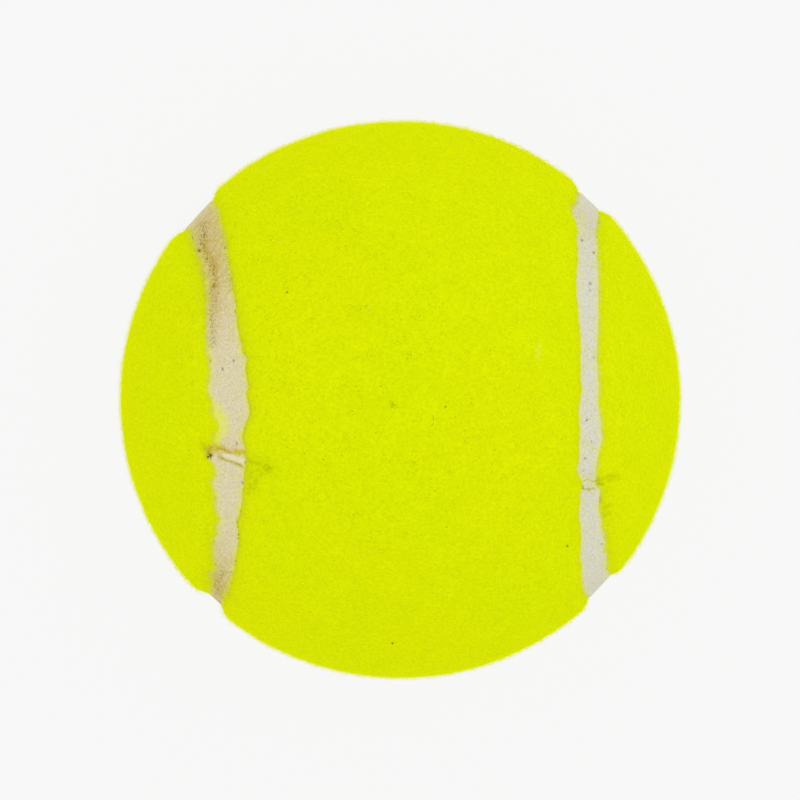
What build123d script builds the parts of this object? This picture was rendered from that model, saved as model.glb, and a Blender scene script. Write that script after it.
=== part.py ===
from build123d import *
import math
import os

# Tennis ball in millimetres, its centre at the origin.
# +Z runs through the middle of panel A's waist, X across that waist and Y along the panel.

# Driving dimensions
ball_diameter = 67.0            # over the felt
felt_thickness = 3.3            # woven backing and nap together
panel_cement_thickness = 0.2    # film that bonds a felt panel to the rubber
core_wall = 3.4                 # rubber of each half-shell
joint_cement_thickness = 0.3    # film between the two half-shell rims
joint_bead_radius = 0.8         # cement squeezed out along the inside of the joint
rim_chamfer = 0.5               # inner edge of a half-shell's rim, broken
seam_width = 3.9                # white seam, felt edge to felt edge
groove_depth = 0.75             # seam surface below the felt surface
shoulder_radius = 1.2           # felt edge rolled over into the seam groove
waist_chord = 41.3              # seam middle to seam middle, straight across a panel's waist
neck_term = 0.03                # how much straighter the panel's neck is than the plain curve

# Fineness of the seam curve
seam_points = 48                # points it is drawn through
seam_runs = 8                   # lengths that its walls are made in

# Radii, from the outside in
ball_radius = ball_diameter / 2
seam_radius = ball_radius - groove_depth
felt_inner_radius = ball_radius - felt_thickness
core_radius = felt_inner_radius - panel_cement_thickness
core_inner_radius = core_radius - core_wall

# The seam's middle, before it is brought to the ball's surface, is
#   x = r cos t - l cos 3t + n cos 5t,  y = r sin t + l sin 3t + n sin 5t,  z = h cos 2t
# with r + l = 1 and h = 2 sqrt(r l). The waist lies at t = 0, so its chord sets r - l.
waist_sine = waist_chord / ball_diameter
waist_cosine = math.sqrt(1 - waist_sine**2)
waist_root = waist_sine * math.sqrt(1 - (neck_term * waist_cosine) ** 2)
waist_term = waist_root - neck_term * waist_cosine**2
round_term = (1 + waist_term) / 2
lobe_term = (1 - waist_term) / 2
rise_term = 2 * math.sqrt(round_term * lobe_term)

# The ball's own poles lie in the lobes of panel B, so that no surface seam crosses panel A
ball_plane = Plane((0, 0, 0), x_dir=(0, 0, -1), z_dir=(1, 0, 0))

# Half a turn about this line lays panel A on panel B
panel_swap = Axis((0, 0, 0), (1, 1, 0))


def seam_direction(t):
    """Unit vector from the ball's centre to the seam's middle at parameter t."""
    x = round_term * math.cos(t) - lobe_term * math.cos(3 * t) + neck_term * math.cos(5 * t)
    y = round_term * math.sin(t) + lobe_term * math.sin(3 * t) + neck_term * math.sin(5 * t)
    z = rise_term * math.cos(2 * t)
    return Vector(x, y, z).normalized()


def seam_line(radius, offset):
    """Closed curve on a ball of this radius, offset from the seam's middle towards panel A."""
    angle = offset / ball_radius
    step = 2 * math.pi / seam_points
    points = []
    for i in range(seam_points):
        middle = seam_direction(i * step)
        along = seam_direction((i + 0.01) * step) - seam_direction((i - 0.01) * step)
        side = middle.cross(along).normalized()
        points.append((middle * math.cos(angle) + side * math.sin(angle)) * radius)
    return Edge.make_spline(points, periodic=True)


def seam_wall(offset):
    """Wall of straight lines from the ball's centre, standing along the offset seam curve."""
    inside = seam_line(core_inner_radius, offset)
    outside = seam_line(ball_diameter - core_inner_radius, offset)
    runs = []
    for i in range(seam_runs):
        start = i / seam_runs
        end = (i + 1) / seam_runs
        runs.append(Face.make_surface_from_curves(inside.trim(start, end), outside.trim(start, end)))
    return Shell(runs)


def ball_shell(outer, inner):
    """Whole hollow ball between two radii."""
    return Solid.make_sphere(outer, ball_plane).cut(Solid.make_sphere(inner, ball_plane))


def panel_side(shape, wall):
    """The piece of a cut shape that lies over panel A's waist."""
    return max(shape.split(wall, keep=Keep.ALL), key=lambda piece: piece.center().Z)


def seam_side(shape, wall):
    """The piece of a cut shape that lies along the seam."""
    return min(shape.split(wall, keep=Keep.ALL), key=lambda piece: piece.center().Z)


def on_ball(edge):
    """Whether an edge lies on the ball's outside."""
    return math.isclose(edge.position_at(0.5).length, ball_radius, abs_tol=felt_thickness / 100)


# Felt panel A and the film behind it share the radial cut edge
felt_wall = seam_wall(seam_width / 2)
felt_panel_a = panel_side(ball_shell(ball_radius, felt_inner_radius), felt_wall)
felt_panel_a = felt_panel_a.fillet(shoulder_radius, felt_panel_a.edges().filter_by(on_ball))
panel_cement_a = panel_side(ball_shell(felt_inner_radius, core_radius), felt_wall)

# The white edge coat of panel A fills the groove from its cut edge to the seam's middle
seam_cement_a = panel_side(ball_shell(seam_radius, core_radius), seam_wall(0))
seam_cement_a = seam_side(seam_cement_a, felt_wall)

# Panel B is the same blank, turned a quarter and laid on from below
felt_panel_b = felt_panel_a.rotate(panel_swap, 180)
panel_cement_b = panel_cement_a.rotate(panel_swap, 180)
seam_cement_b = seam_cement_a.rotate(panel_swap, 180)

# Rubber half-shell: a wall section turned about Z, with a flat rim and a broken inner edge
rim_height = joint_cement_thickness / 2
with BuildPart() as half_shell:
    with BuildSketch(Plane.XZ):
        Circle(core_radius)
        Circle(core_inner_radius, mode=Mode.SUBTRACT)
        with Locations((0, rim_height)):
            Rectangle(core_radius, core_radius, align=(Align.MIN, Align.MIN), mode=Mode.INTERSECT)
        inner_rim = vertices().group_by(Axis.Y)[0].sort_by(Axis.X)[0]
        chamfer(inner_rim, rim_chamfer)
    revolve(axis=Axis.Z)
core_half_top = half_shell.part
core_half_bottom = core_half_top.rotate(Axis.X, 180)

# Joint cement: the film between the rims and the bead inside, less what the rubber fills
with BuildPart() as joint:
    with BuildSketch(Plane.XZ):
        with Locations(((core_radius + core_inner_radius) / 2, 0)):
            Rectangle(core_wall, joint_cement_thickness)
        with Locations((core_inner_radius, 0)):
            Circle(joint_bead_radius)
    revolve(axis=Axis.Z)
core_joint_cement = joint.part - core_half_top - core_half_bottom

pieces = {
    "core_half_top": core_half_top,
    "core_half_bottom": core_half_bottom,
    "core_joint_cement": core_joint_cement,
    "panel_cement_a": panel_cement_a,
    "panel_cement_b": panel_cement_b,
    "felt_panel_a": felt_panel_a,
    "felt_panel_b": felt_panel_b,
    "seam_cement_a": seam_cement_a,
    "seam_cement_b": seam_cement_b,
}

os.makedirs("parts", exist_ok=True)
for name, piece in pieces.items():
    export_step(piece, f"parts/{name}.step")
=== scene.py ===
"""Tennis ball: napped felt panels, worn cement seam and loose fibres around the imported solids."""

import math
from collections import namedtuple
from itertools import product

import bmesh
import bpy
import numpy as np
from mathutils import Matrix


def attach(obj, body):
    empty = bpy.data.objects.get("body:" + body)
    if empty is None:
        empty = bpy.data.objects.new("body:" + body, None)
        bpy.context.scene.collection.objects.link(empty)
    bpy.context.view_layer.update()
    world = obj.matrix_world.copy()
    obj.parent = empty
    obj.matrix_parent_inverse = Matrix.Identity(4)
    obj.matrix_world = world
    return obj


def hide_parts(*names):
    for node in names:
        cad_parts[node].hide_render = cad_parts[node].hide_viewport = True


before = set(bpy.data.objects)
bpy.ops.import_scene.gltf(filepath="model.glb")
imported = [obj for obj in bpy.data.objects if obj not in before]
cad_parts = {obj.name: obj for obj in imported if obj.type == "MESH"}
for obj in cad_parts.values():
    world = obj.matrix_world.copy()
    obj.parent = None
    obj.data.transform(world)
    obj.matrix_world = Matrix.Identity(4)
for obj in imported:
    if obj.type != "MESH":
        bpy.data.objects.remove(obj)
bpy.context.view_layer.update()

MM = 0.001
TURN = 2 * math.pi

# Sizes of the solids, in millimetres
BALL_RADIUS = 33.5
FELT_THICKNESS = 3.3
PANEL_CEMENT_THICKNESS = 0.2
GROOVE_DEPTH = 0.75
SEAM_HALF_WIDTH = 1.95
WAIST_CHORD = 41.3
NECK_TERM = 0.03
FELT_INNER_RADIUS = BALL_RADIUS - FELT_THICKNESS
CORE_RADIUS = FELT_INNER_RADIUS - PANEL_CEMENT_THICKNESS
SEAM_RADIUS = BALL_RADIUS - GROOVE_DEPTH

# The two panels, and the side of the seam that each lies on
SIDES = {"a": 1, "b": -1}


# The view: the ball's place in the photograph, an 800 pixel square, and the turns in degrees to its view

IMAGE_SIZE = 800
PIXEL_MIDDLE = 0.5
BALL_PIXEL = (399.78, 399.09)
BALL_PIXEL_RADIUS = 279.0
VIEW_TURNS = (3.02, 2.13, 1.63)
VIEW_DISTANCE = 10 * BALL_RADIUS
FOCAL_PIXELS = BALL_PIXEL_RADIUS * math.sqrt((VIEW_DISTANCE / BALL_RADIUS) ** 2 - 1)


def view_matrix():
    """Turn from the part's axes to the photograph's."""
    turned = Matrix.Identity(3)
    for angle, axis in zip(VIEW_TURNS, "XYZ"):
        turned = Matrix.Rotation(math.radians(angle), 3, axis) @ turned
    return turned


VIEW = view_matrix()
VIEW_ROWS = np.array(VIEW)


def to_pixels(points):
    """Where points of the ball show in the photograph; those turned away lie far off it."""
    seen = points @ VIEW_ROWS.T
    depth = VIEW_DISTANCE - seen[:, 2]
    x = BALL_PIXEL[0] + FOCAL_PIXELS * seen[:, 0] / depth
    y = BALL_PIXEL[1] - FOCAL_PIXELS * seen[:, 1] / depth
    away = seen[:, 2] < BALL_RADIUS**2 / VIEW_DISTANCE - GROOVE_DEPTH
    return np.where(away[:, None], -IMAGE_SIZE, np.stack([x, y], axis=1))


def on_ball(x, y, radius):
    """The spot on a ball of this radius that shows at a pixel of the photograph."""
    ray = np.array([(x - BALL_PIXEL[0]) / FOCAL_PIXELS, (BALL_PIXEL[1] - y) / FOCAL_PIXELS, -1.0])
    ray /= np.linalg.norm(ray)
    eye = np.array([0.0, 0.0, VIEW_DISTANCE])
    middle = eye @ ray
    reach = -middle - math.sqrt(middle**2 - VIEW_DISTANCE**2 + radius**2)
    return (eye + reach * ray) @ VIEW_ROWS


# Seam curve, as in the solids

TANGENT_STEP = 1e-4
SEARCH_POINTS = 4000
SEARCH_BATCH = 4000


def seam_terms():
    """Round, lobe and rise terms of the curve, which follow from the waist's chord."""
    sine = WAIST_CHORD / (2 * BALL_RADIUS)
    cosine = math.sqrt(1 - sine**2)
    waist = sine * math.sqrt(1 - (NECK_TERM * cosine) ** 2) - NECK_TERM * cosine**2
    round_term = (1 + waist) / 2
    lobe_term = (1 - waist) / 2
    return round_term, lobe_term, 2 * math.sqrt(round_term * lobe_term)


ROUND_TERM, LOBE_TERM, RISE_TERM = seam_terms()


def unit(vectors):
    return vectors / np.linalg.norm(vectors, axis=-1, keepdims=True)


def seam_direction(t):
    """Unit vectors from the ball's centre to the seam's middle."""
    x = ROUND_TERM * np.cos(t) - LOBE_TERM * np.cos(3 * t) + NECK_TERM * np.cos(5 * t)
    y = ROUND_TERM * np.sin(t) + LOBE_TERM * np.sin(3 * t) + NECK_TERM * np.sin(5 * t)
    z = RISE_TERM * np.cos(2 * t)
    return unit(np.stack([x, y, z], axis=-1))


def seam_side(t):
    """Unit vectors along the ball, across the seam, towards panel A."""
    along = seam_direction(t + TANGENT_STEP) - seam_direction(t - TANGENT_STEP)
    return unit(np.cross(seam_direction(t), along))


def seam_spot(t, offset, radius):
    """Points at this offset from the seam's middle and this distance from the ball's centre."""
    angle = (offset / BALL_RADIUS)[:, None]
    return (seam_direction(t) * np.cos(angle) + seam_side(t) * np.sin(angle)) * radius


def round_the_seam(count):
    return np.arange(count) * TURN / count


SEARCH_T = round_the_seam(SEARCH_POINTS)
SEARCH_RAYS = seam_direction(SEARCH_T)
SEARCH_SIDES = seam_side(SEARCH_T)


def seam_place(rays):
    """Seam parameter of each ray's nearest point of the seam, and its offset towards panel A."""
    t = np.empty(len(rays))
    offset = np.empty(len(rays))
    for start in range(0, len(rays), SEARCH_BATCH):
        part = slice(start, start + SEARCH_BATCH)
        nearest = (rays[part] @ SEARCH_RAYS.T).argmax(axis=1)
        t[part] = SEARCH_T[nearest]
        lean = (rays[part] * SEARCH_SIDES[nearest]).sum(axis=1)
        offset[part] = BALL_RADIUS * np.arcsin(np.clip(lean, -1, 1))
    return t, offset


# Noise: shifts and large odd numbers scatter the keys of its lattice points, and bits of a key make slopes

AXIS_KEYS = np.array([73856093, 19349663, 83492791])
SEED_KEY = 2654435761
SCATTER = ((33, 0xFF51AFD7ED558CCD), (29, 0xC4CEB9FE1A85EC53))
LAST_SHIFT = 32
SLOPE_BITS = 0xFFFF
SLOPE_SHIFTS = (0, 16, 32)
LATTICE_SHIFT = 17.3
NOISE_GAIN = 1.5


def scramble(keys):
    """Whole numbers scattered over 64 bits."""
    keys = keys.astype(np.uint64)
    for shift, factor in SCATTER:
        keys ^= keys >> np.uint64(shift)
        keys *= np.uint64(factor)
    return keys ^ (keys >> np.uint64(LAST_SHIFT))


def lattice_noise(points, cell, seed):
    """Smooth noise of about -1 to 1 with lumps one cell across."""
    scaled = points / cell + LATTICE_SHIFT
    base = np.floor(scaled).astype(np.int64)
    part = scaled - base
    fade = part**3 * (part * (part * 6 - 15) + 10)
    total = np.zeros(len(points))
    for corner in product((0, 1), repeat=3):
        corner = np.array(corner)
        key = scramble((base + corner) @ AXIS_KEYS + seed * SEED_KEY)
        shifted = np.stack([key >> np.uint64(shift) for shift in SLOPE_SHIFTS], axis=1)
        slope = (shifted & np.uint64(SLOPE_BITS)).astype(float) / (SLOPE_BITS // 2) - 1
        weight = np.where(corner == 1, fade, 1 - fade).prod(axis=1)
        total += weight * ((part - corner) * slope).sum(axis=1)
    return total * NOISE_GAIN


def lumps(points, table, seed):
    """Sum of noises, each given by its cell and its height."""
    total = np.zeros(len(points))
    for i, (cell, height) in enumerate(table):
        total += height * lattice_noise(points, cell, seed + i)
    return total


# The seam's edges: waves all round, longer ones out of view, and swells placed along the two runs in view.
# A wave is (length, height); a swell is (seam parameter in degrees, half length in degrees, width added).

EDGE_WAVES = ((1.0, 0.1), (0.5, 0.08))
EDGE_SEED = 40
HIDDEN_WAVES = ((9.0, 0.32), (2.6, 0.12))
HIDDEN_SEED = 60
EDGE_SEED_STEP = 10
SEEN_RUNS = (0, 180)
SEEN_REACH = 34
SEEN_FADE = 1.5
SWELLS = {
    1: (
        (180, 34, -0.05), (0, 34, -0.13), (146, 4, 0.3), (150, 2, -0.1), (159, 4, -0.22),
        (175, 4.2, 0.85), (173.2, 0.7, 0.35), (176.3, 0.8, 0.35), (179.4, 1.5, 0.85),
        (182.3, 0.6, -0.2), (185, 3, 0.42), (193.9, 1.6, -0.55), (200.5, 5.5, -0.55),
        (208.5, 1.5, 0.2), (210.5, 6, -0.95), (221, 6, -0.45), (36, 3.5, 0.45), (30.3, 2.3, 1.1),
        (28.5, 0.8, 0.4), (20.3, 4, -0.33), (8, 5.5, -0.62), (2.2, 1.6, -0.35), (-2.8, 0.8, -0.25),
        (-7.7, 0.8, 0.3), (-10, 0.7, -0.5), (-14.3, 1.3, 0.22), (-21.6, 1.4, 0.3), (-28.5, 7, 0.6),
    ),
    -1: (
        (0, 34, -0.19), (126, 7, 0.7), (134.5, 4.5, 1.8), (147, 6, 0.4), (169, 5, 0.72),
        (176.1, 1.9, 0.75), (179.5, 0.7, 0.3), (181.3, 0.9, -0.75), (185.3, 1.2, 1.35),
        (189.8, 1, 0.55), (195.2, 1.1, -0.6), (197.8, 1.3, -0.38), (206, 2.2, -0.65),
        (208.9, 1.5, 0.3), (212, 4, -0.85), (217, 3.5, -0.85), (224, 6, -0.5), (46, 6, -0.4),
        (37, 4, -0.75), (29.5, 4.5, -0.84), (23.5, 1.5, -0.2), (6, 4.5, -0.4), (0.3, 1.4, -0.35),
        (-4.4, 0.8, 0.25), (-8.8, 2.8, -1), (-10.6, 0.9, -0.55), (-15, 2.4, -0.68),
        (-18.5, 2.2, -0.35), (-24.5, 1.1, -0.4), (-31.5, 3, -0.5),
    ),
}


def degrees_apart(t, place):
    return (np.degrees(t) - place + 180) % 360 - 180


def swell(t, place, reach):
    """1 at a place along the seam, falling off over its reach."""
    return np.exp(-((degrees_apart(t, place) / reach) ** 2))


def seen_share(t):
    """1 along the two runs of the seam in view, 0 on the far side."""
    near = [np.clip(SEEN_FADE - np.abs(degrees_apart(t, place)) / SEEN_REACH, 0, 1) for place in SEEN_RUNS]
    return np.maximum(*near)


def half_width(t, side):
    """Width of the seam from its middle to the felt edge of panel A (1) or B (-1)."""
    spots = seam_direction(t) * BALL_RADIUS
    wave = lumps(spots, EDGE_WAVES, EDGE_SEED + EDGE_SEED_STEP * side)
    wave += lumps(spots, HIDDEN_WAVES, HIDDEN_SEED + EDGE_SEED_STEP * side) * (1 - seen_share(t))
    for place, reach, wider in SWELLS[side]:
        wave += wider * swell(t, place, reach)
    return SEAM_HALF_WIDTH + wave


# Mesh helpers

SHARP_ANGLE = 50


def mesh_object(name, points, faces, material):
    """Closed mesh in metres from points in millimetres, smooth, facing outwards."""
    mesh = bpy.data.meshes.new(name)
    mesh.from_pydata((points * MM).tolist(), [], faces)
    work = bmesh.new()
    work.from_mesh(mesh)
    bmesh.ops.recalc_face_normals(work, faces=work.faces)
    work.to_mesh(mesh)
    work.free()
    mesh.polygons.foreach_set("use_smooth", np.ones(len(mesh.polygons), bool))
    mesh.set_sharp_from_angle(angle=math.radians(SHARP_ANGLE))
    mesh.materials.append(material)
    piece = bpy.data.objects.new(name, mesh)
    bpy.context.scene.collection.objects.link(piece)
    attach(piece, "root")
    return piece


def point_attribute(piece, name, values):
    layer = piece.data.attributes.new(name, "FLOAT", "POINT")
    layer.data.foreach_set("value", np.asarray(values, np.float32))


def ring_faces(rows, count, closed):
    """Quads between closed rings of points, and from the last ring to the first if closed."""
    faces = []
    for i in range(rows if closed else rows - 1):
        here = i * count
        there = (i + 1) % rows * count
        for j in range(count):
            k = (j + 1) % count
            faces.append((here + j, here + k, there + k, there + j))
    return faces


Ball = namedtuple("Ball", "rays faces t offset")


def ball_mesh(level):
    """Unit ball of even triangles, with each point's place along the seam."""
    work = bmesh.new()
    bmesh.ops.create_icosphere(work, subdivisions=level, radius=1.0)
    rays = unit(np.array([v.co[:] for v in work.verts]))
    faces = np.array([[v.index for v in f.verts] for f in work.faces])
    work.free()
    return Ball(rays, faces, *seam_place(rays))


def border_edges(faces):
    """Edges of a patch of triangles that only one triangle has."""
    edges = np.concatenate([faces[:, [0, 1]], faces[:, [1, 2]], faces[:, [2, 0]]])
    keys = np.sort(edges, axis=1)
    _, index, count = np.unique(keys, axis=0, return_index=True, return_counts=True)
    return edges[index[count == 1]]


def trimmed(faces, keep):
    """Triangles whose corners are all kept, less those that would pinch the border."""
    faces = faces[keep[faces].all(axis=1)]
    while True:
        starts, uses = np.unique(border_edges(faces)[:, 0], return_counts=True)
        pinched = starts[uses > 1]
        if not len(pinched):
            return faces
        faces = faces[~np.isin(faces, pinched).any(axis=1)]


def border_loop(faces, t):
    """The one closed border of a patch of triangles, in the order of rising parameter."""
    follow = {int(a): int(b) for a, b in border_edges(faces)}
    loop = [next(iter(follow))]
    while follow[loop[-1]] != loop[0]:
        loop.append(follow[loop[-1]])
    if len(loop) != len(follow):
        raise ValueError("a felt patch has more than one border")
    travel = np.unwrap(t[loop])
    return np.array(loop if travel[-1] > travel[0] else loop[::-1])


def zipped(outer, outer_t, inner, inner_t):
    """Triangles between two closed loops of point numbers whose parameters both rise."""
    start = int(np.argmin(np.abs((inner_t - outer_t[0] + math.pi) % TURN - math.pi)))
    inner = np.roll(inner, -start)
    inner_t = np.unwrap(np.roll(inner_t, -start))
    inner_t = np.maximum.accumulate(inner_t - TURN * round((inner_t[0] - outer_t[0]) / TURN))
    outer_t = np.append(outer_t, outer_t[0] + TURN)
    inner_t = np.append(inner_t, inner_t[0] + TURN)
    faces = []
    i = 0
    j = 0
    while i < len(outer) or j < len(inner):
        a = int(outer[i % len(outer)])
        b = int(inner[j % len(inner)])
        if j == len(inner) or (i < len(outer) and outer_t[i + 1] <= inner_t[j + 1]):
            i += 1
            faces.append((a, int(outer[i % len(outer)]), b))
        else:
            j += 1
            faces.append((a, int(inner[j % len(inner)]), b))
    return faces


# Felt panels: cloth under the nap, rolled down softly to its cut edge in the cement

CLOTH_DEPTH = 0.09
CLOTH_LUMPS = ((0.75, 0.025), (2.0, 0.025), (7.0, 0.04))
CLOTH_SEED = 150
CLOTH_SEED_STEP = 30
OVAL = 0.086
EDGE_LIP = -0.03
SHOULDER_REACH = 1.7
EDGE_RINGS = (0.0, 0.1, 0.25, 0.45, 0.7, 1.0, 1.35, 1.75, 2.2)
EDGE_POINTS = 2400

# Gaps from the last ring to the patch outside, and from the cut edge to the patch behind
PATCH_GAP = 0.25
BACK_GAP = 1.0

# Distance in from the edge that is given to points behind it
BEHIND = -1.0

FELT_BALL = ball_mesh(level=8)
BACK_BALL = ball_mesh(level=6)

Patch = namedtuple("Patch", "rays faces border t inward")
Felt = namedtuple("Felt", "points faces inward t")


def felt_patch(ball, side, reach):
    """The middle of a panel, cut from a ball, with each point's distance in from the edge."""
    inward = side * ball.offset - half_width(ball.t, side)
    faces = trimmed(ball.faces, inward > reach)
    used, faces = np.unique(faces, return_inverse=True)
    faces = faces.reshape(-1, 3)
    t = ball.t[used]
    return Patch(ball.rays[used], faces, border_loop(faces, t), t, inward[used])


def cloth_radius(flat, inward, seed):
    """Distance of the cloth from the ball's centre: lumpy, a little oval, rolled down at the edge."""
    rolled = np.clip(1 - inward / SHOULDER_REACH, 0, 1)
    oval = OVAL * (flat[:, 0] ** 2 - flat[:, 1] ** 2) / BALL_RADIUS**2
    uneven = lumps(flat, CLOTH_LUMPS, seed) + oval
    roll = (GROOVE_DEPTH - EDGE_LIP - CLOTH_DEPTH) * rolled**2
    return BALL_RADIUS - CLOTH_DEPTH + uneven * (1 - rolled) - roll


def felt_shape(side):
    """One panel: rings along its cut edge, joined to a patch outside and one behind."""
    seed = CLOTH_SEED + CLOTH_SEED_STEP * side
    t = round_the_seam(EDGE_POINTS)
    width = half_width(t, side)
    points = [seam_spot(t, side * width, FELT_INNER_RADIUS)]
    inwards = [np.full(EDGE_POINTS, BEHIND)]
    for reach in EDGE_RINGS:
        flat = seam_spot(t, side * (width + reach), BALL_RADIUS)
        inwards.append(np.full(EDGE_POINTS, reach))
        points.append(unit(flat) * cloth_radius(flat, inwards[-1], seed)[:, None])
    places = [t] * len(points)
    faces = ring_faces(len(points), EDGE_POINTS, closed=False)
    first_ring = np.arange(EDGE_POINTS)
    last_ring = first_ring + len(EDGE_RINGS) * EDGE_POINTS

    outside = felt_patch(FELT_BALL, side, EDGE_RINGS[-1] + PATCH_GAP)
    behind = felt_patch(BACK_BALL, side, BACK_GAP)
    surface = cloth_radius(outside.rays * BALL_RADIUS, outside.inward, seed)[:, None]
    for patch, radius, inward, ring in (
        (outside, surface, outside.inward, last_ring),
        (behind, FELT_INNER_RADIUS, np.full(len(behind.rays), BEHIND), first_ring),
    ):
        start = sum(len(part) for part in points)
        points.append(patch.rays * radius)
        inwards.append(inward)
        places.append(patch.t)
        faces += (patch.faces + start).tolist()
        faces += zipped(ring, t, patch.border + start, patch.t[patch.border])
    return Felt(np.concatenate(points), faces, np.concatenate(inwards), np.concatenate(places))


# Strokes on the felt by kind, in pixels of the photograph: width, strength and line.
# A scuff is dark and a worn spot pale; dusty felt has more dark flecks, and warm felt is yellower.

FELT_STROKES = {
    "scuff": (
        (9.0, 0.25, ((256, 464), (268, 467))), (7.0, 0.2, ((251, 474), (253, 490))),
        (2.2, 0.5, ((248, 459), (253, 462), (259, 465), (266, 466))),
        (2.4, 0.75, ((266, 464), (270, 466), (268, 470))), (2.2, 0.4, ((251, 470), (249, 478))),
        (2.2, 0.4, ((257, 479), (253, 487))), (2.2, 0.4, ((261, 472), (257, 477))),
        (2.2, 0.4, ((249, 484), (248, 492))), (2.8, 1.0, ((596.5, 480), (599.5, 482.5))),
        (3.0, 0.3, ((201, 441), (206, 450))), (2.2, 1.0, ((599, 497), (599.5, 502))),
        (2.2, 0.4, ((603, 478), (610, 474.5), (618, 476))), (2.2, 0.35, ((606, 480), (614, 479))),
        (2.2, 0.35, ((603, 508), (611, 504))), (2.2, 0.4, ((603, 514), (609, 513))),
    ),
    "worn": ((2.0, 0.55, ((538.5, 345), (537.5, 357))),),
    "rust": ((3.2, 1.0, ((208.5, 454), (208, 447.5), (213, 446))),),
    "dusty": ((120, 1.0, ((300, 280), (340, 420), (440, 400))),),
    "warm": ((40, 0.8, ((288, 312), (298, 350), (290, 410))),),
}
STROKE_SEED = 500

# How marks wander: lengths in millimetres along the ball, and pixels to either side
MARK_WOBBLE = ((0.5, 1.3), (1.5, 1.0))
WOBBLE_SEED_STEP = 5


def line_distance(pixels, line):
    """Distance in pixels from a line of points."""
    nearest = np.full(len(pixels), np.inf)
    for start, end in zip(np.array(line[:-1]), np.array(line[1:])):
        span = end - start
        share = np.clip((pixels - start) @ span / (span @ span), 0, 1)
        nearest = np.minimum(nearest, np.linalg.norm(pixels - start - share[:, None] * span, axis=1))
    return nearest


def marks_at(spots, table, seed):
    """Strength of each kind of mark at points of the ball."""
    pixels = to_pixels(spots)
    pixels[:, 0] += lumps(spots, MARK_WOBBLE, seed)
    pixels[:, 1] += lumps(spots, MARK_WOBBLE, seed + WOBBLE_SEED_STEP)
    marks = {}
    for kind, rows in table.items():
        marks[kind] = np.zeros(len(spots))
        for width, strength, line in rows:
            mark = strength * np.exp(-((line_distance(pixels, line) / width) ** 2))
            marks[kind] = np.maximum(marks[kind], mark)
    return marks


# Old cement soaked into the felt along its cut edge: seam parameter and half length in degrees, strength

GRIME = {1: ((180, 34, 0.4), (208, 6, 0.15), (0, 34, 0.12)), -1: ((157, 10, 0.28), (207, 7, 0.1))}
GRIME_ALL_ROUND = 0.12
GRIME_REACH = 0.62


def strength_along(t, table):
    """Sum of the strengths of a table's places along the seam."""
    return sum(strength * swell(t, place, reach) for place, reach, strength in table)


def edge_grime(t, inward, side):
    level = GRIME_ALL_ROUND + strength_along(t, GRIME[side])
    return level * np.exp(-np.maximum(inward, 0) / GRIME_REACH)


# Fibres: a taller and a shorter nap all over, curled strands in it, and a fringe along the cut edges.
# Sizes are in millimetres; a lean is along the ball for each step out, and a dip is a share of length.

NAP_COUNT = 48000
NAP_SIZES = {"nap": (0.62, 0.022), "down": (0.52, 0.018)}
NAP_LEAST = 0.03
NAP_AT_EDGE = 0.3
NAP_LEAN = (0.5, 2.5)
NAP_ROOT_DEPTH = 0.05
STRAND_COUNT = 8000
STRAND_LENGTH = (0.5, 1.4)
STRAND_WIDTH = 0.024
STRAND_RADII = (STRAND_WIDTH / 2, STRAND_WIDTH / 2.6)
STRAND_RISE = (3, 24)
STRAND_DIP = 0.12
STRAND_ROOT_DEPTH = 0.04
CURL_MIDDLE = 0.55
CURL_BEND = (-0.14, 0.14)
FRINGE_COUNT = 3000
FRINGE_LENGTH = (0.2, 0.7)
FRINGE_REACH = (0.0, 0.45)
FRINGE_SWING = (-65, 65)
FRINGE_RISE = (-0.1, 0.15)
FRINGE_DIP = 0.16
FIBRE_SEED = 100

# Fibres start this far in from the cut edge
SHOWN_FROM = 0.05

# The fringe and the specks lie on lumps of their own, off the panels' by far less than the nap's height
LAID_SEED = 0

TRIANGLE = ((0, 1), (1, 2), (2, 0))
BLUNT_FIBRE = ((0, 1, 2), (0, 3, 1), (0, 2, 3), (1, 3, 2))

Fibres = namedtuple("Fibres", "points faces size")


def repeated(shape, fibre_faces):
    """Fibres from each corner's points and the faces of one fibre."""
    size = len(shape)
    points = np.stack(shape, axis=1)
    fibres = range(len(points))
    faces = [tuple(size * i + corner for corner in face) for i in fibres for face in fibre_faces]
    return Fibres(points.reshape(-1, 3), faces, size)


def tapering_fibres(stations, radii):
    """Three-sided fibres through stations from root to tip."""
    course = unit(stations[-1] - stations[0])
    across = unit(np.cross(course, unit(stations[0])))
    over = np.cross(across, course)
    shape = []
    for centre, radius in zip(stations, radii):
        for corner in range(3):
            angle = TURN * corner / 3
            shape.append(centre + (across * math.cos(angle) + over * math.sin(angle)) * radius)
    tip = len(shape)
    shape.append(stations[-1])
    faces = [(0, 2, 1)]
    for low in range(0, tip - 3, 3):
        faces += [(low + a, low + b, low + 3 + b, low + 3 + a) for a, b in TRIANGLE]
    faces += [(tip - 3 + a, tip - 3 + b, tip) for a, b in TRIANGLE]
    return repeated(shape, faces)


def blunt_fibres(root, tip, width):
    """Straight fibres of four triangles: an edge across the root, and one across the tip."""
    course = unit(tip - root)
    across = unit(np.cross(course, unit(root))) * width / 2
    over = np.cross(course, across)
    return repeated([root - across, root + across, tip - over, tip + over], BLUNT_FIBRE)


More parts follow.
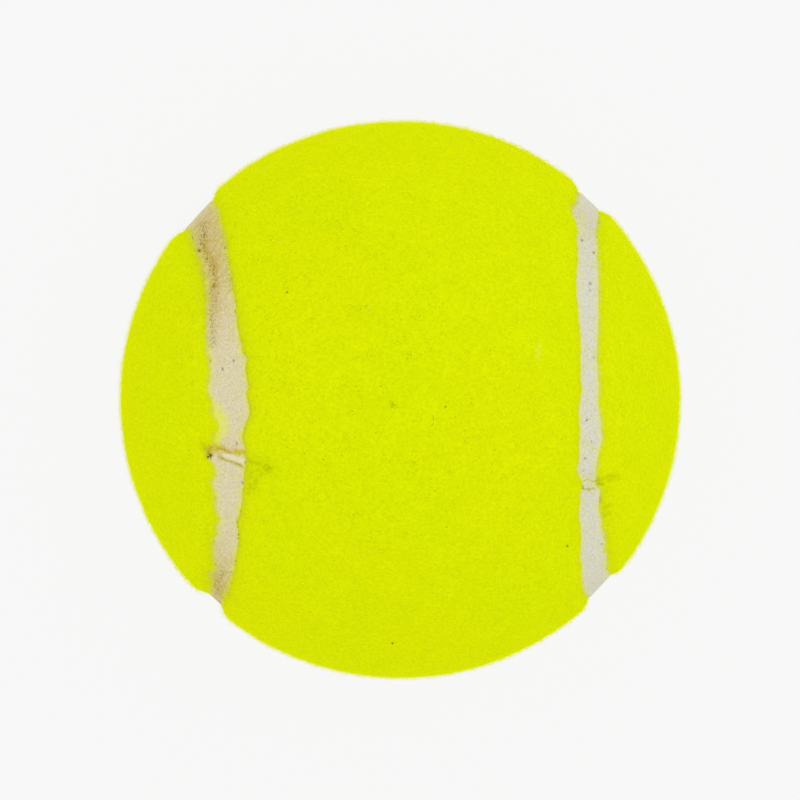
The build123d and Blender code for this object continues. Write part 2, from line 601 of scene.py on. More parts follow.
def spread(felt, count, draw):
    """Even random spots on the outside of a felt panel, and how far in from its edge they are."""
    corners = np.array([face[:3] for face in felt.faces])
    corner_counts = np.array([len(face) for face in felt.faces])
    shown = (felt.inward[corners] > SHOWN_FROM).all(axis=1)
    corners = corners[shown]
    a, b, c = (felt.points[corners[:, i]] for i in range(3))
    area = np.linalg.norm(np.cross(b - a, c - a), axis=1) * (corner_counts[shown] - 2)
    pick = draw.choice(len(corners), count, p=area / area.sum())
    mix = np.sort(draw.random((count, 2)), axis=1)
    shares = np.stack([mix[:, 0], mix[:, 1] - mix[:, 0], 1 - mix[:, 1]], axis=1)
    spots = (felt.points[corners[pick]] * shares[..., None]).sum(axis=1)
    return spots, (felt.inward[corners[pick]] * shares).sum(axis=1)


def between(draw, limits, count):
    return draw.uniform(*limits, count)[:, None]


def along_ball(out, draw):
    """Random directions along the ball at spots in these directions."""
    return unit(np.cross(out, draw.normal(size=out.shape)))


def nap_fibres(felt, tallest, width, draw):
    """Short straight fibres all over the felt, most of them low, lower still along its edge."""
    root, inward = spread(felt, NAP_COUNT, draw)
    out = unit(root)
    lying = along_ball(out, draw)
    tall = tallest * np.clip(NAP_AT_EDGE + (1 - NAP_AT_EDGE) * inward / SHOULDER_REACH, 0, 1)[:, None]
    height = tall * (1 - np.sqrt(between(draw, (0, 1), NAP_COUNT))) + NAP_LEAST
    lean = between(draw, NAP_LEAN, NAP_COUNT)
    return blunt_fibres(root - out * NAP_ROOT_DEPTH, root + (out + lying * lean) * height, width)


def curled_fibres(root, course, length, dip, draw):
    """Fibres that leave along course, bend aside and come down by dip of their length."""
    out = unit(root)
    aside = unit(np.cross(course, draw.normal(size=root.shape)))
    bend = between(draw, CURL_BEND, len(root)) * length
    middle = root + course * length * CURL_MIDDLE + aside * bend
    tip = root + course * length - out * dip * length - aside * bend
    return tapering_fibres((root - out * STRAND_ROOT_DEPTH, middle, tip), STRAND_RADII)


def loose_strands(felt, draw):
    """Curled fibres that lie in the nap."""
    root, _ = spread(felt, STRAND_COUNT, draw)
    out = unit(root)
    lying = along_ball(out, draw)
    rise = np.radians(between(draw, STRAND_RISE, STRAND_COUNT))
    course = lying * np.cos(rise) + out * np.sin(rise)
    return curled_fibres(root, course, between(draw, STRAND_LENGTH, STRAND_COUNT), STRAND_DIP, draw)


def fringe(side, draw):
    """Fibres that lean from a cut edge over the cement."""
    t = draw.uniform(0, TURN, FRINGE_COUNT)
    reach = draw.uniform(*FRINGE_REACH, FRINGE_COUNT)
    flat = seam_spot(t, side * (half_width(t, side) + reach), BALL_RADIUS)
    out = unit(flat)
    root = out * cloth_radius(flat, reach, LAID_SEED)[:, None]
    away = -side * seam_side(t)
    along = np.cross(out, away)
    swing = np.radians(between(draw, FRINGE_SWING, FRINGE_COUNT))
    rise = between(draw, FRINGE_RISE, FRINGE_COUNT)
    course = unit(away * np.cos(swing) + along * np.sin(swing) + out * rise)
    return curled_fibres(root, course, between(draw, FRINGE_LENGTH, FRINGE_COUNT), FRINGE_DIP, draw)


# Specks on the felt: x, y and length in pixels of the photograph, angle in degrees,
# radius in millimetres and tone, from -1 for dark dirt through 0 for felt to 1 for pale lint

FELT_SPECKS = (
    (287, 292, 2.5, 20, 0.09, -0.8),
    (393, 404, 3, 30, 0.09, -0.6),
    (391, 406, 2.5, 120, 0.07, -0.5),
    (445, 406, 2.5, 60, 0.09, -0.8),
    (566.5, 545, 1.6, 90, 0.09, -1.0),
    (392, 642, 2.5, 40, 0.09, -0.8),
    (208.3, 456.3, 2.4, 70, 0.13, -1.0),
    (236.8, 521, 2, 80, 0.07, -0.6),
    (237.4, 526, 1.5, 60, 0.07, -0.6),
    (238.4, 533.5, 2.5, 85, 0.09, -0.8),
    (238, 537.5, 2, 80, 0.08, -0.7),
    (235.5, 560, 1.5, 40, 0.06, -0.5),
    (368.3, 307.5, 4, -42, 0.08, 0.7),
)
SPECK_ARCH = 0.2
SPECK_SEED = 400
SEATING_STEPS = 8

# More of them, tried all over and kept on the far side, clear of the seam
FAR_SPECKS_TRIED = 60
FAR_SPECK_CLEARANCE = 4
FAR_SPECK_FACING = -0.15
FAR_SPECK_REACH = (0.1, 0.35)
FAR_SPECK_RADIUS = 0.05
FAR_SPECK_TONE = (-0.6, 0.1)


def felt_radius(points):
    """Distance from the ball's centre of the felt under points."""
    rays = unit(points)
    t, offset = seam_place(rays)
    inward = np.where(offset > 0, offset - half_width(t, 1), -offset - half_width(t, -1))
    return cloth_radius(rays * BALL_RADIUS, np.maximum(inward, 0), LAID_SEED)


def seen_specks():
    """Middles of the specks in view, and their reach from there to one end."""
    centres = []
    courses = []
    for x, y, length, angle, _, _ in FELT_SPECKS:
        turn = math.radians(angle)
        radius = BALL_RADIUS
        for _ in range(SEATING_STEPS):
            radius = (radius + felt_radius(on_ball(x, y, radius)[None])[0]) / 2
        centres.append(on_ball(x, y, radius))
        end = on_ball(x + length / 2 * math.cos(turn), y - length / 2 * math.sin(turn), radius)
        courses.append(end - centres[-1])
    return np.array(centres), np.array(courses)


def felt_specks(draw):
    """Arched fibres for the specks in view and some on the far side, with their tones."""
    centres, courses = seen_specks()
    far = unit(draw.normal(size=(FAR_SPECKS_TRIED, 3)))
    _, offset = seam_place(far)
    far = far[(np.abs(offset) > FAR_SPECK_CLEARANCE) & (far @ VIEW_ROWS[2] < FAR_SPECK_FACING)]
    far_courses = along_ball(far, draw) * between(draw, FAR_SPECK_REACH, len(far))
    radii = [speck[4] for speck in FELT_SPECKS] + [FAR_SPECK_RADIUS] * len(far)
    tones = [speck[5] for speck in FELT_SPECKS] + list(draw.uniform(*FAR_SPECK_TONE, len(far)))
    centre = np.concatenate([centres, far * felt_radius(far)[:, None]])
    course = np.concatenate([courses, far_courses])
    radius = np.array(radii)[:, None]
    stations = (centre - course, centre + unit(centre) * SPECK_ARCH, centre + course)
    return tapering_fibres(stations, (radius / 2, radius)), np.array(tones)


# Seam cement: a dished coat from under the felt's edge to the seam's middle

SEAM_POINTS = 3400
SEAM_ROWS = 20
SEAM_TUCK = 0.15
SEAM_DISH = 0.05
SEAM_LUMPS = ((0.4, 0.012), (1.3, 0.022), (6.0, 0.04))
SEAM_SEED = 300

# Places where the cement stands higher: seam parameter and half length in degrees, millimetres;
# and the distance from the felt over which it rises
SEAM_RISES = ((36, 8, 0.36), (-36, 9, 0.2), (140, 8, 0.25))
RISE_FOOT = 0.3

# Stains along the seam: seam parameter and half length in degrees, strength; one differs between the sides
STAINS = (
    (146, 6, 0.75), (184, 1.5, 0.25), (203, 5, 0.4), (210.5, 5.5, 1.0), (30, 4, 0.15), (-10, 1.5, 0.2),
)
STAINS_BY_SIDE = {1: (157.5, 9, 0.76), -1: (157.5, 9, 0.95)}

# Stains and soot on the far side, in patches of this size
FAR_STAIN = 0.5
FAR_STAIN_CELL = 14.0
FAR_STAIN_SEED = 320

# Felt lint along the cement's edge: its reach at either end of a span of X, its level and unevenness
LINT_SPAN = (-10, 10)
LINT_REACH = (0.42, 0.32)
LINT_LEVEL = 0.75
LINT_UNEVEN = ((0.6, 0.6),)
LINT_SEED = 330

# The cement turns from cream to grey over this width about X = 0
GREY_SPAN = 30

# Marks on the seam by kind, in pixels of the photograph: width, strength and line
CRACK_TOP = ((209, 455), (208.5, 447.5), (214, 447.5), (222, 449.5), (231, 451.5), (245, 453))
HAIR_CRACK = ((578, 437), (584, 440), (588, 444), (592, 447), (597, 449))
SEAM_MARKS = {
    "lint": (
        (5.0, 1.0, ((212, 404), (214, 414), (219, 422), (218, 431), (214, 445))),
        (4.5, 0.65, ((218, 408), (225, 421), (222, 434))),
        (3.5, 0.6, ((239, 452), (244, 456), (243, 466))), (3.5, 0.3, ((580, 216), (580, 232))),
        (3.0, 0.4, ((604, 562), (607, 570), (605, 576))), (1.0, 0.6, HAIR_CRACK),
        (1.8, 0.6, ((583, 480), (588, 480.5), (596, 481))),
        (2.0, 0.6, ((582, 488), (588, 489), (594, 488))),
    ),
    "soot": (
        (4.0, 1.0, ((205, 224), (202, 244), (206, 256), (212, 268), (214, 282), (213, 294))),
        (4.5, 0.55, ((213, 294), (211, 316), (212, 344))),
        (6.0, 0.6, ((222, 574), (216, 586), (222, 600))),
        (3.0, 0.5, ((224, 232), (228, 262), (232, 290))),
        (1.8, 1.0, ((208, 455), (208, 447), (222, 449.5), (240, 453))),
    ),
    "rust": (
        (2.4, 0.4, ((203, 242), (206, 254), (212, 264), (214, 284))), (3.0, 1.1, CRACK_TOP),
        (4.5, 1.0, ((209, 449), (215, 447.5), (221, 449))), (2.6, 0.8, ((218, 453), (219.5, 458))),
        (1.6, 0.9, ((218.5, 453), (219, 457), (227, 460.5), (236, 463.5), (242, 466))),
    ),
    "brown": (
        (3.6, 0.5, ((204, 242), (207.5, 254), (213, 264), (215, 284), (214, 296))),
        (4.5, 0.3, ((214, 296), (211, 316), (212, 340))),
    ),
    "dirt": (
        (1.22, 1.2, ((198, 249.5), (199, 250))), (0.96, 0.88, ((191.3, 237.5), (191.6, 238))),
        (0.87, 0.88, ((224.6, 247), (224.8, 248))), (1.04, 0.88, ((203, 272.5), (202.5, 273.5))),
        (0.96, 1.12, ((234.8, 310), (235, 310.5))), (0.7, 0.75, ((209, 265), (209, 266))),
        (0.78, 1.0, ((232.6, 360), (232.8, 360.6))), (0.96, 1.12, ((221.6, 368), (221.8, 368.6))),
        (0.78, 0.62, ((209.3, 360), (209.5, 360.6))), (0.96, 1.0, ((242, 434.5), (242.2, 435))),
        (0.87, 0.88, ((235.5, 443.5), (235.7, 444))),
        (0.61, 0.5, ((217, 449), (224, 450.5), (231, 453))), (2.3, 1.3, ((208.3, 455.5), (208.8, 457))),
        (0.61, 0.44, ((217, 457), (222, 459), (231, 461.8), (240, 465.5))),
        (1.04, 0.88, ((246, 461), (246.4, 462))), (1.13, 0.62, ((241.5, 482), (242.5, 483))),
        (0.96, 0.88, ((215.2, 532), (215.4, 532.5))), (0.87, 0.75, ((212.5, 540), (213.5, 540))),
        (0.78, 1.0, ((213.5, 567), (213.6, 567.6))), (0.78, 0.75, ((231, 571.5), (231.2, 572))),
        (0.78, 0.75, ((232, 578.7), (232.2, 579))), (0.78, 0.88, ((581.3, 239), (581.4, 239.6))),
        (0.96, 1.0, ((593.7, 252.4), (593.8, 252.8))), (1.13, 1.0, ((589.5, 283), (589.7, 283.5))),
        (0.78, 0.62, ((589.5, 289), (589.7, 289.4))), (0.87, 0.88, ((594, 357.2), (594.1, 357.8))),
        (0.7, 0.62, ((594.5, 409.6), (594.6, 410))), (0.96, 1.12, ((586.5, 419.5), (586.6, 420))),
        (0.7, 0.62, ((591.5, 440), (592.4, 443.4))), (0.78, 1.0, ((585, 458.8), (585.1, 459.2))),
        (0.7, 0.88, ((583.5, 469.8), (583.6, 470.2))), (0.61, 0.18, HAIR_CRACK),
        (0.78, 0.4, ((582, 480.5), (588, 480), (596, 481))), (0.87, 0.88, ((581.5, 485), (583, 489))),
        (0.9, 0.45, ((583, 489), (585, 490), (589, 489), (594, 488))),
        (1.4, 0.9, ((596.5, 481.5), (597.5, 484))), (1.1, 1.1, ((600, 498), (600.6, 502))),
        (0.87, 0.62, ((600.5, 543.6), (600.6, 544.2))),
    ),
    "pale": (
        (1.8, 0.9, ((212.8, 458), (214.8, 457))),
        (2.5, 0.85, ((224, 454.5), (234, 457.5), (244.5, 461.5))),
    ),
}
SEAM_MARK_SEED = 340

# Height of a mark on the cement in millimetres
MARK_RELIEF = {"lint": 0.03, "soot": 0.0, "brown": 0.0, "rust": -0.08, "dirt": -0.05, "pale": 0.2}


def seam_relief(flat, edge, t, marks):
    """Height of the cement over its plain level."""
    share = np.clip(1 - edge / SEAM_HALF_WIDTH, 0, 1)
    height = lumps(flat, SEAM_LUMPS, SEAM_SEED) - SEAM_DISH * (1 - share**2)
    for kind, relief in MARK_RELIEF.items():
        height += relief * marks[kind]
    for place, reach, rise in SEAM_RISES:
        height += rise * swell(t, place, reach) * np.clip(edge / RISE_FOOT, 0, 1)
    return height


def seam_soil(flat, edge, t, side, marks):
    """The marks with stains, grey and the lint along the edge added."""
    far_stain = np.clip(lattice_noise(flat, FAR_STAIN_CELL, FAR_STAIN_SEED), 0, 1) * (1 - seen_share(t))
    reach = np.interp(flat[:, 0], LINT_SPAN, LINT_REACH)
    edge_lint = np.exp(-np.maximum(edge, 0) / reach) * (LINT_LEVEL + lumps(flat, LINT_UNEVEN, LINT_SEED))
    return {
        **marks,
        "stain": strength_along(t, (*STAINS, STAINS_BY_SIDE[side])) + FAR_STAIN * far_stain,
        "soot": marks["soot"] + FAR_STAIN * far_stain,
        "grey": np.clip(0.5 + flat[:, 0] / GREY_SPAN, 0, 1),
        "lint": np.maximum(marks["lint"], edge_lint),
    }


def seam_shape(side):
    """Points, faces and attributes of one half of the seam, from its felt edge to its middle."""
    t = round_the_seam(SEAM_POINTS)
    width = half_width(t, side)
    rows = [(width + SEAM_TUCK) * (1 - i / SEAM_ROWS) for i in range(SEAM_ROWS + 1)]
    flat = np.concatenate([seam_spot(t, side * row, BALL_RADIUS) for row in rows])
    edge = np.concatenate([width - row for row in rows])
    row_t = np.tile(t, len(rows))
    marks = marks_at(unit(flat) * SEAM_RADIUS, SEAM_MARKS, SEAM_MARK_SEED)
    top = unit(flat) * (SEAM_RADIUS + seam_relief(flat, edge, row_t, marks))[:, None]
    under = [seam_spot(t, side * row, CORE_RADIUS) for row in (rows[-1], rows[0])]
    unmarked = np.zeros(len(under) * SEAM_POINTS)
    soil = seam_soil(flat, edge, row_t, side, marks)
    attributes = {kind: np.clip(np.append(values, unmarked), 0, 1) for kind, values in soil.items()}
    faces = ring_faces(len(rows) + len(under), SEAM_POINTS, closed=True)
    return np.concatenate([top, *under]), faces, attributes


# Materials. Colours are linear, and a tint scales the red and the green of one.

FELT_COLOUR = (0.765, 0.88, 0.0008)
FIBRE_COLOUR = (0.81, 0.888, 0.001)
CEMENT_COLOUR = (0.735, 0.65, 0.44)


def tint(red, green, colour=FELT_COLOUR):
    return colour[0] * red, colour[1] * green, colour[2]


FRESH_FELT = (tint(0.96, 0.985), tint(1.025, 1.025))
WARM_FELT = (tint(0.995, 0.965), tint(1.06, 1.005))
WARMEST_FELT = tint(1.05, 1.0)
SHADED_FELT = tint(0.78, 0.82)
FLECK_COLOUR = (0.36, 0.46, 0.0)
# Painted shade in the felt's pits
PIT_SHADE_COLOUR = (0.32, 0.41, 0.0)
FIBRE_COLOURS = (tint(0.97, 0.98, FIBRE_COLOUR), tint(1.03, 1.02, FIBRE_COLOUR))
DARK_SPECK = (0.07, 0.07, 0.003)
PALE_SPECK = (0.86, 0.89, 0.3)
GREY_CEMENT = (0.695, 0.69, 0.603)
YELLOWED_CEMENT = (0.71, 0.66, 0.2)
CEMENT_HOLLOW = (0.48, 0.42, 0.22)
CEMENT_CROWN = (0.84, 0.80, 0.64)
CEMENT_SPECK = (0.30, 0.27, 0.16)
RUBBER_COLOURS = ((0.035, 0.035, 0.038), (0.07, 0.07, 0.075))
BOND_COLOURS = ((0.55, 0.47, 0.31), (0.68, 0.61, 0.45))

# A mottle has a size in millimetres, the noise levels that it lies between, and its share at these
Mottle = namedtuple("Mottle", "size levels shares detail roughness", defaults=(3.0, 0.6))
WHOLE = (0.0, 1.0)
BROAD_PATCHES = Mottle(4.0, (0.3, 0.7), WHOLE)
WARM_PATCHES = Mottle(13.0, (0.38, 0.62), WHOLE, 2.0, 0.5)
FELT_GRAIN = Mottle(0.38, (0.35, 0.62), (0.65, 0.0), 4.0, 0.75)
TUFTS = Mottle(1.4, (0.5, 0.66), (0.15, 1.0), 2.0, 0.5)
FLECKS = Mottle(0.24, (0.42, 0.3), (0.0, 0.8), 2.0)
# Patches where the painted shade in the felt's pits is stronger
PIT_SHADE_PATCHES = Mottle(5.0, (0.4, 0.6), (0.15, 0.6), 2.0, 0.5)
RAGGED_EDGE = Mottle(0.45, (0.3, 0.7), (-0.22, 0.22))
FIBRE_PATCHES = Mottle(1.3, (0.3, 0.7), WHOLE, 2.0, 0.5)
YELLOWING = Mottle(0.8, (0.46, 0.72), (0.0, 0.55), 4.0, 0.65)
CEMENT_HOLLOWS = Mottle(0.26, (0.5, 0.3), (0.0, 0.45), 3.0, 0.65)
CEMENT_CROWNS = Mottle(0.26, (0.5, 0.7), (0.0, 0.6), 3.0, 0.65)
RUBBER_PATCHES = Mottle(4.0, (0.3, 0.7), WHOLE, 4.0, 0.5)
BOND_PATCHES = Mottle(2.0, (0.3, 0.7), WHOLE, 4.0, 0.5)

# Dots have a cell and radii in millimetres; dust brings out the flecks and the painted shade in pits
# between these shares
PIT_SHADE_DOTS = (1.9, 0.01, 0.2)
CEMENT_SPECKS = (0.8, 0.01, 0.1)
CEMENT_SPECK_SHARE = 0.4
DOT_FADE = (0.5, 1.0)
FLECKS_BY_DUST = (0.3, 1.25)
PIT_SHADE_BY_DUST = (0.5, 1.2)

# Cement on the felt's cut edge: distance in from the edge in millimetres, and share
EDGE_SOAK_REACH = (0.0, 0.3)
EDGE_SOAK = (0.45, 0.0)

# Colour and mottle of each kind of mark
MARK_LOOKS = {
    "scuff": ((0.27, 0.36, 0.0), Mottle(0.4, (0.35, 0.6), (0.25, 1.0))),
    "worn": ((0.83, 0.90, 0.11), Mottle(0.5, (0.35, 0.6), (0.3, 1.0))),
    "grime": ((0.45, 0.33, 0.03), Mottle(0.8, (0.3, 0.7), (0.6, 1.4))),
    "stain": ((0.60, 0.45, 0.105), Mottle(0.8, (0.35, 0.65), (0.6, 1.3))),
    "lint": (tint(1.04, 0.97), Mottle(0.35, (0.3, 0.6), (0.4, 1.0), 3.0, 0.7)),
    "brown": ((0.50, 0.34, 0.05), Mottle(0.4, (0.35, 0.6), (0.4, 1.0))),
    "soot": ((0.17, 0.11, 0.012), Mottle(0.27, (0.52, 0.6), (0.0, 0.9), 2.0)),
    "rust": ((0.62, 0.5, 0.006), Mottle(0.3, (0.36, 0.58), (0.35, 1.0), 2.0)),
    "pale": ((0.86, 0.80, 0.52), Mottle(0.4, (0.35, 0.6), (0.6, 1.0))),
    "dirt": ((0.075, 0.05, 0.012), Mottle(0.25, (0.35, 0.55), (0.4, 1.0), 2.0)),
}

# A bump has a size and a depth in millimetres
Bump = namedtuple("Bump", "size detail roughness depth strength")
FELT_BUMP = Bump(0.3, 3.0, 0.7, 0.1, 0.4)
CEMENT_BUMP = Bump(0.4, 4.0, 0.6, 0.05, 0.4)
RUBBER_BUMP = Bump(0.5, 3.0, 0.5, 0.04, 0.5)
BOND_BUMP = Bump(0.8, 3.0, 0.5, 0.05, 0.5)

# How far light soaks into a fibre, in millimetres
FIBRE_SOAK = (0.05, 0.05, 0.005)


class Nodes:
    """Short calls for building the nodes of a material or a world."""

    def __init__(self, owner, coordinates="Object"):
        owner.use_nodes = True
        self.owner = owner
        self.tree = owner.node_tree
        self.coords = self.add("TexCoord").outputs[coordinates]

    @property
    def shader(self):
        return self.tree.nodes["Principled BSDF"]

    def add(self, kind, inputs=None, **settings):
        """A new node of this kind, with its settings and inputs."""
        node = self.tree.nodes.new("ShaderNode" + kind)
        for name, value in settings.items():
            setattr(node, name, value)
        self.feed(node, inputs or {})
        return node

    def feed(self, node, inputs):
        """Set inputs of a node, by name or number, to values, or link them to sockets."""
        for key, value in inputs.items():
            if isinstance(value, bpy.types.NodeSocket):
                self.tree.links.new(value, node.inputs[key])
            else:
                node.inputs[key].default_value = value

    def math(self, operation, first, second):
        return self.add("Math", {0: first, 1: second}, operation=operation).outputs["Value"]

    def times(self, first, second):
        return self.math("MULTIPLY", first, second)

    def ramp(self, value, levels, shares, **settings):
        """From the first share to the second as a value goes from the first level to the second."""
        names = ("Value", "From Min", "From Max", "To Min", "To Max")
        inputs = dict(zip(names, (value, *levels, *shares)))
        return self.add("MapRange", inputs, **settings).outputs["Result"]

    def noise(self, look):
        """Noise of a mottle's or a bump's size."""
        inputs = {"Vector": self.coords, "Scale": 1 / (look.size * MM)}
        inputs |= {"Detail": look.detail, "Roughness": look.roughness}
        return self.add("TexNoise", inputs).outputs["Fac"]

    def mottle(self, look):
        return self.ramp(self.noise(look), look.levels, look.shares)

    def dots(self, cell, least, most):
        """Soft dots of varying radius, one at most in each cell; 1 in a dot."""
        inputs = {"Vector": self.coords, "Scale": 1 / (cell * MM), "Randomness": 1.0}
        cells = self.add("TexVoronoi", inputs)
        split = self.add("SeparateColor", {"Color": cells.outputs["Color"]})
        radius = self.ramp(split.outputs["Red"], WHOLE, (least / cell, most / cell))
        ratio = self.math("DIVIDE", cells.outputs["Distance"], radius)
        return self.ramp(ratio, DOT_FADE, (1.0, 0.0))

    def attribute(self, name):
        return self.add("Attribute", attribute_name=name).outputs["Fac"]

    def mix(self, factor, first, second):
        """Colour from first to second as factor goes from 0 to 1."""
        node = self.add("Mix", {"Factor": factor}, data_type="RGBA")
        keys = [key for key, socket in enumerate(node.inputs) if socket.type == "RGBA"]
        for key, value in zip(keys, (first, second)):
            self.feed(node, {key: (*value, 1.0) if isinstance(value, tuple) else value})
        return next(socket for socket in node.outputs if socket.type == "RGBA")

    def mark(self, colour, kind):
        """Colour turned to that of a mark where the piece has it."""
        mark_colour, look = MARK_LOOKS[kind]
        return self.mix(self.times(self.attribute(kind), self.mottle(look)), colour, mark_colour)

    def bump(self, look):
        inputs = {"Height": self.noise(look), "Distance": look.depth * MM, "Strength": look.strength}
        self.feed(self.shader, {"Normal": self.add("Bump", inputs).outputs["Normal"]})

    def choose(self, factor, first, second):
        """Shader from first to second as factor goes from 0 to 1."""
        return self.add("MixShader", {"Fac": factor, 1: first, 2: second}).outputs["Shader"]

    def finish(self, colour, roughness, specular):
        """The material, with its colour and gloss set."""
        inputs = {"Base Color": colour, "Roughness": roughness, "Specular IOR Level": specular}
        self.feed(self.shader, inputs)
        return self.owner


def felt_material():
    n = Nodes(bpy.data.materials.new("felt_nap"))
    broad = n.mottle(BROAD_PATCHES)
    fresh = n.mix(broad, *FRESH_FELT)
    warm = n.mix(broad, *WARM_FELT)
    colour = n.mix(n.mottle(WARM_PATCHES), fresh, warm)
    colour = n.mix(n.attribute("warm"), colour, WARMEST_FELT)
    colour = n.mix(n.mottle(FELT_GRAIN), colour, SHADED_FELT)
    dusty = n.attribute("dusty")
    flecks = n.times(n.mottle(FLECKS), n.mottle(TUFTS))
    flecks = n.times(flecks, n.ramp(dusty, WHOLE, FLECKS_BY_DUST))
    colour = n.mix(flecks, colour, FLECK_COLOUR)
    # Painted shade in the felt's pits: dark dots, stronger where the felt is dusty
    pit_shade = n.times(n.dots(*PIT_SHADE_DOTS), n.mottle(PIT_SHADE_PATCHES))
    pit_shade = n.times(pit_shade, n.ramp(dusty, WHOLE, PIT_SHADE_BY_DUST))
    colour = n.mix(pit_shade, colour, PIT_SHADE_COLOUR)
    for kind in ("scuff", "worn"):
        colour = n.mark(colour, kind)
    ragged = n.math("ADD", n.attribute("inward"), n.mottle(RAGGED_EDGE))
    colour = n.mix(n.ramp(ragged, EDGE_SOAK_REACH, EDGE_SOAK), colour, CEMENT_COLOUR)
    for kind in ("grime", "rust"):
        colour = n.mark(colour, kind)
    n.bump(FELT_BUMP)
    return n.finish(colour, roughness=1.0, specular=0.0)


def fibre_material():
    """Fibres that the light soaks through."""
    n = Nodes(bpy.data.materials.new("felt_fibre"))
    colour = n.mix(n.mottle(FIBRE_PATCHES), *FIBRE_COLOURS)
    tone = n.attribute("tone")
    colour = n.mix(n.ramp(tone, (0.0, -1.0), WHOLE), colour, DARK_SPECK)
    colour = n.mix(n.ramp(tone, (0.0, 1.0), WHOLE), colour, PALE_SPECK)
    soak = {"Subsurface Weight": 1.0, "Subsurface Radius": FIBRE_SOAK, "Subsurface Scale": MM}
    n.feed(n.shader, soak)
    return n.finish(colour, roughness=1.0, specular=0.0)


def seam_material():
    n = Nodes(bpy.data.materials.new("seam_cement_worn"))
    colour = n.mix(n.attribute("grey"), CEMENT_COLOUR, GREY_CEMENT)
    colour = n.mix(n.mottle(YELLOWING), colour, YELLOWED_CEMENT)
    colour = n.mark(colour, "stain")
    colour = n.mix(n.mottle(CEMENT_HOLLOWS), colour, CEMENT_HOLLOW)
    colour = n.mix(n.mottle(CEMENT_CROWNS), colour, CEMENT_CROWN)
    colour = n.mark(colour, "lint")
    colour = n.mix(n.times(n.dots(*CEMENT_SPECKS), CEMENT_SPECK_SHARE), colour, CEMENT_SPECK)
    for kind in ("brown", "soot", "rust", "pale", "dirt"):
        colour = n.mark(colour, kind)
    n.bump(CEMENT_BUMP)
    return n.finish(colour, roughness=0.85, specular=0.12)


def rubber_material():
    n = Nodes(bpy.data.materials.new("core_rubber"))
    n.bump(RUBBER_BUMP)
    return n.finish(n.mix(n.mottle(RUBBER_PATCHES), *RUBBER_COLOURS), roughness=0.75, specular=0.3)


def bond_material():
    n = Nodes(bpy.data.materials.new("bond_cement"))
    n.bump(BOND_BUMP)
    return n.finish(n.mix(n.mottle(BOND_PATCHES), *BOND_COLOURS), roughness=0.7, specular=0.3)


# The pieces.

FIBRE_TONE = 0.04


def fibre_piece(name, fibres, tone, material):
    piece = mesh_object(name, fibres.points, fibres.faces, material)
    point_attribute(piece, "tone", np.repeat(tone, fibres.size))
    return piece


def felt_pieces(letter, side, cloth_look, fibre_look):
    """One panel's cloth, and the fibres on it."""
    draw = np.random.default_rng(FIBRE_SEED + side)
    felt = felt_shape(side)
    cloth = mesh_object(f"felt_cloth_{letter}", felt.points, felt.faces, cloth_look)
    point_attribute(cloth, "inward", felt.inward)
    point_attribute(cloth, "grime", edge_grime(felt.t, felt.inward, side))
    for kind, values in marks_at(felt.points, FELT_STROKES, STROKE_SEED).items():
        point_attribute(cloth, kind, values)
    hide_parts(f"felt_panel_{letter}")

    kinds = {name: nap_fibres(felt, *sizes, draw) for name, sizes in NAP_SIZES.items()}
    kinds["strands"] = loose_strands(felt, draw)
    kinds["fringe"] = fringe(side, draw)
    for name, fibres in kinds.items():
        tone = draw.normal(0, FIBRE_TONE, len(fibres.points) // fibres.size)
        fibre_piece(f"felt_{name}_{letter}", fibres, tone, fibre_look)


def seam_piece(letter, side, material):
    points, faces, attributes = seam_shape(side)
    seam = mesh_object(f"seam_coat_{letter}", points, faces, material)
    for kind, values in attributes.items():
        point_attribute(seam, kind, values)
    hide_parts(f"seam_cement_{letter}")


def dress_solids():
    """Materials of the solids inside the ball."""
    rubber = rubber_material()
    bond = bond_material()
    for name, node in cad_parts.items():
        if name.startswith(("core", "panel_cement")):
            node.data.materials.clear()
            node.data.materials.append(rubber if name.startswith("core_half") else bond)


felt_look = felt_material()
fibre_look = fibre_material()
seam_look = seam_material()
for letter, side in SIDES.items():
    felt_pieces(letter, side, felt_look, fibre_look)
    seam_piece(letter, side, seam_look)
fibre_piece("felt_lint", *felt_specks(np.random.default_rng(SPECK_SEED)), fibre_look)
dress_solids()


# Floor, light and camera

WHITE = (1, 1, 1, 1)
PALE_GROUND = (0.937, 0.937, 0.937, 1)

# The floor, its size in metres, glows to the camera, but for the ball's full shadow round the spot that
# it rests on, which fades out between these reaches in millimetres
FLOOR_SIZE = 20
FLOOR_GLOW = 0.95
SHADOW_REACH = (16, 36)

# The light is a tent, brightest overhead and a little dimmer towards the panel's two ends, along Y
HORIZON_LIGHT = 0.92
ZENITH_LIGHT = 1.025
END_LIGHT = 0.9

# A broad weak lamp: strength, and its width and turns in degrees
KEY_STRENGTH = 0.16
KEY_WIDTH = 50
KEY_TURNS = (-28, 32, 0)

SENSOR_WIDTH = 36.0


def floor_material():
    n = Nodes(bpy.data.materials.new("pale_floor"))
    n.finish(PALE_GROUND, roughness=1.0, specular=0.0)
    glow = n.add("Emission", {"Color": PALE_GROUND})
    path = n.add("LightPath").outputs
    seen = n.math("MAXIMUM", path["Is Camera Ray"], path["Is Glossy Ray"])
    seen = n.math("MAXIMUM", seen, path["Is Transmission Ray"])
    reach = n.add("VectorMath", {"Vector": n.coords}, operation="LENGTH").outputs["Value"]
    share = n.ramp(reach, [limit * MM for limit in SHADOW_REACH], (0.0, FLOOR_GLOW))
    surface = n.choose(n.times(seen, share), n.shader.outputs["BSDF"], glow.outputs["Emission"])
    n.feed(n.tree.nodes["Material Output"], {"Surface": surface})
    return n.owner


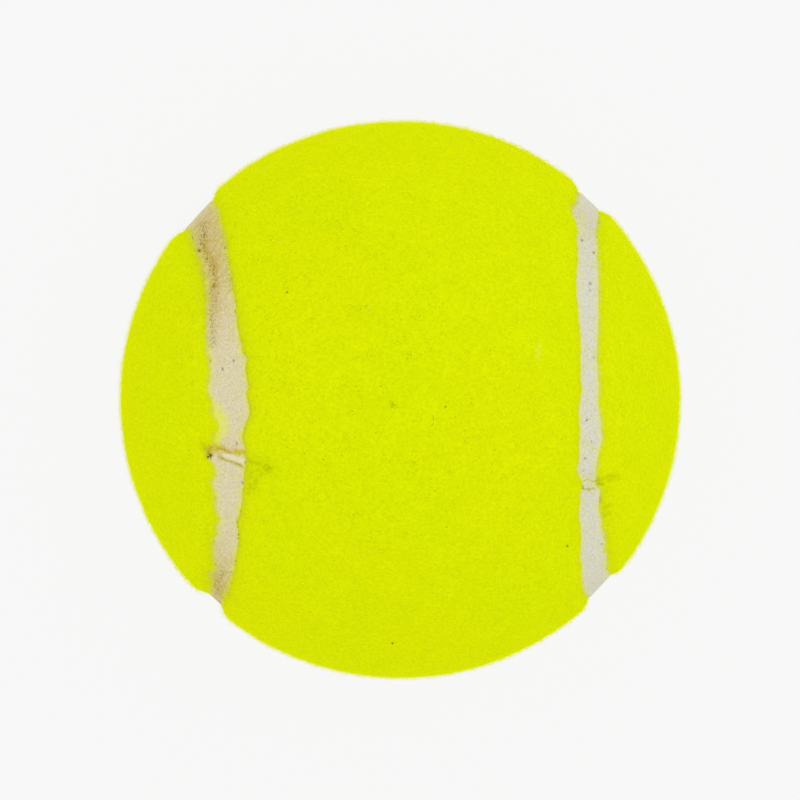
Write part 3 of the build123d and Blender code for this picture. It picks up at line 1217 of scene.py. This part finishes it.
def make_floor():
    bpy.ops.mesh.primitive_plane_add(size=FLOOR_SIZE, location=(0, 0, -BALL_RADIUS * MM))
    floor = bpy.context.object
    floor.name = "floor"
    floor.data.materials.append(floor_material())


def studio_world():
    """The light tent, and the plain pale ground that the camera sees in its place."""
    n = Nodes(bpy.data.worlds.new("studio"), "Generated")
    tent = n.tree.nodes["Background"]
    part = n.add("SeparateXYZ", {"Vector": n.coords}).outputs
    height = n.ramp(part["Z"], WHOLE, (HORIZON_LIGHT, ZENITH_LIGHT), interpolation_type="SMOOTHSTEP")
    ends = n.ramp(n.times(part["Y"], part["Y"]), WHOLE, (1.0, END_LIGHT))
    n.feed(tent, {"Color": WHITE, "Strength": n.times(height, ends)})
    ground = n.add("Background", {"Color": PALE_GROUND})
    camera_ray = n.add("LightPath").outputs["Is Camera Ray"]
    surface = n.choose(camera_ray, tent.outputs["Background"], ground.outputs["Background"])
    n.feed(n.tree.nodes["World Output"], {"Surface": surface})
    return n.owner


def key_lamp():
    light = bpy.data.lights.new("key", "SUN")
    light.energy = KEY_STRENGTH
    light.angle = math.radians(KEY_WIDTH)
    lamp = bpy.data.objects.new("key", light)
    lamp.rotation_euler = [math.radians(angle) for angle in KEY_TURNS]
    return lamp


def photo_camera():
    """The camera at the photograph's place, with the shift that its framing needs."""
    lens = bpy.data.cameras.new("camera")
    lens.sensor_width = SENSOR_WIDTH
    lens.lens = FOCAL_PIXELS * SENSOR_WIDTH / IMAGE_SIZE
    lens.shift_x = (IMAGE_SIZE / 2 - BALL_PIXEL[0] - PIXEL_MIDDLE) / IMAGE_SIZE
    lens.shift_y = (BALL_PIXEL[1] + PIXEL_MIDDLE - IMAGE_SIZE / 2) / IMAGE_SIZE
    camera = bpy.data.objects.new("camera", lens)
    camera.matrix_world = VIEW.transposed().to_4x4() @ Matrix.Translation((0, 0, VIEW_DISTANCE * MM))
    return camera


make_floor()
scene = bpy.context.scene
scene.view_settings.view_transform = "Standard"
scene.world = studio_world()
scene.camera = photo_camera()
for thing in (key_lamp(), scene.camera):
    scene.collection.objects.link(thing)
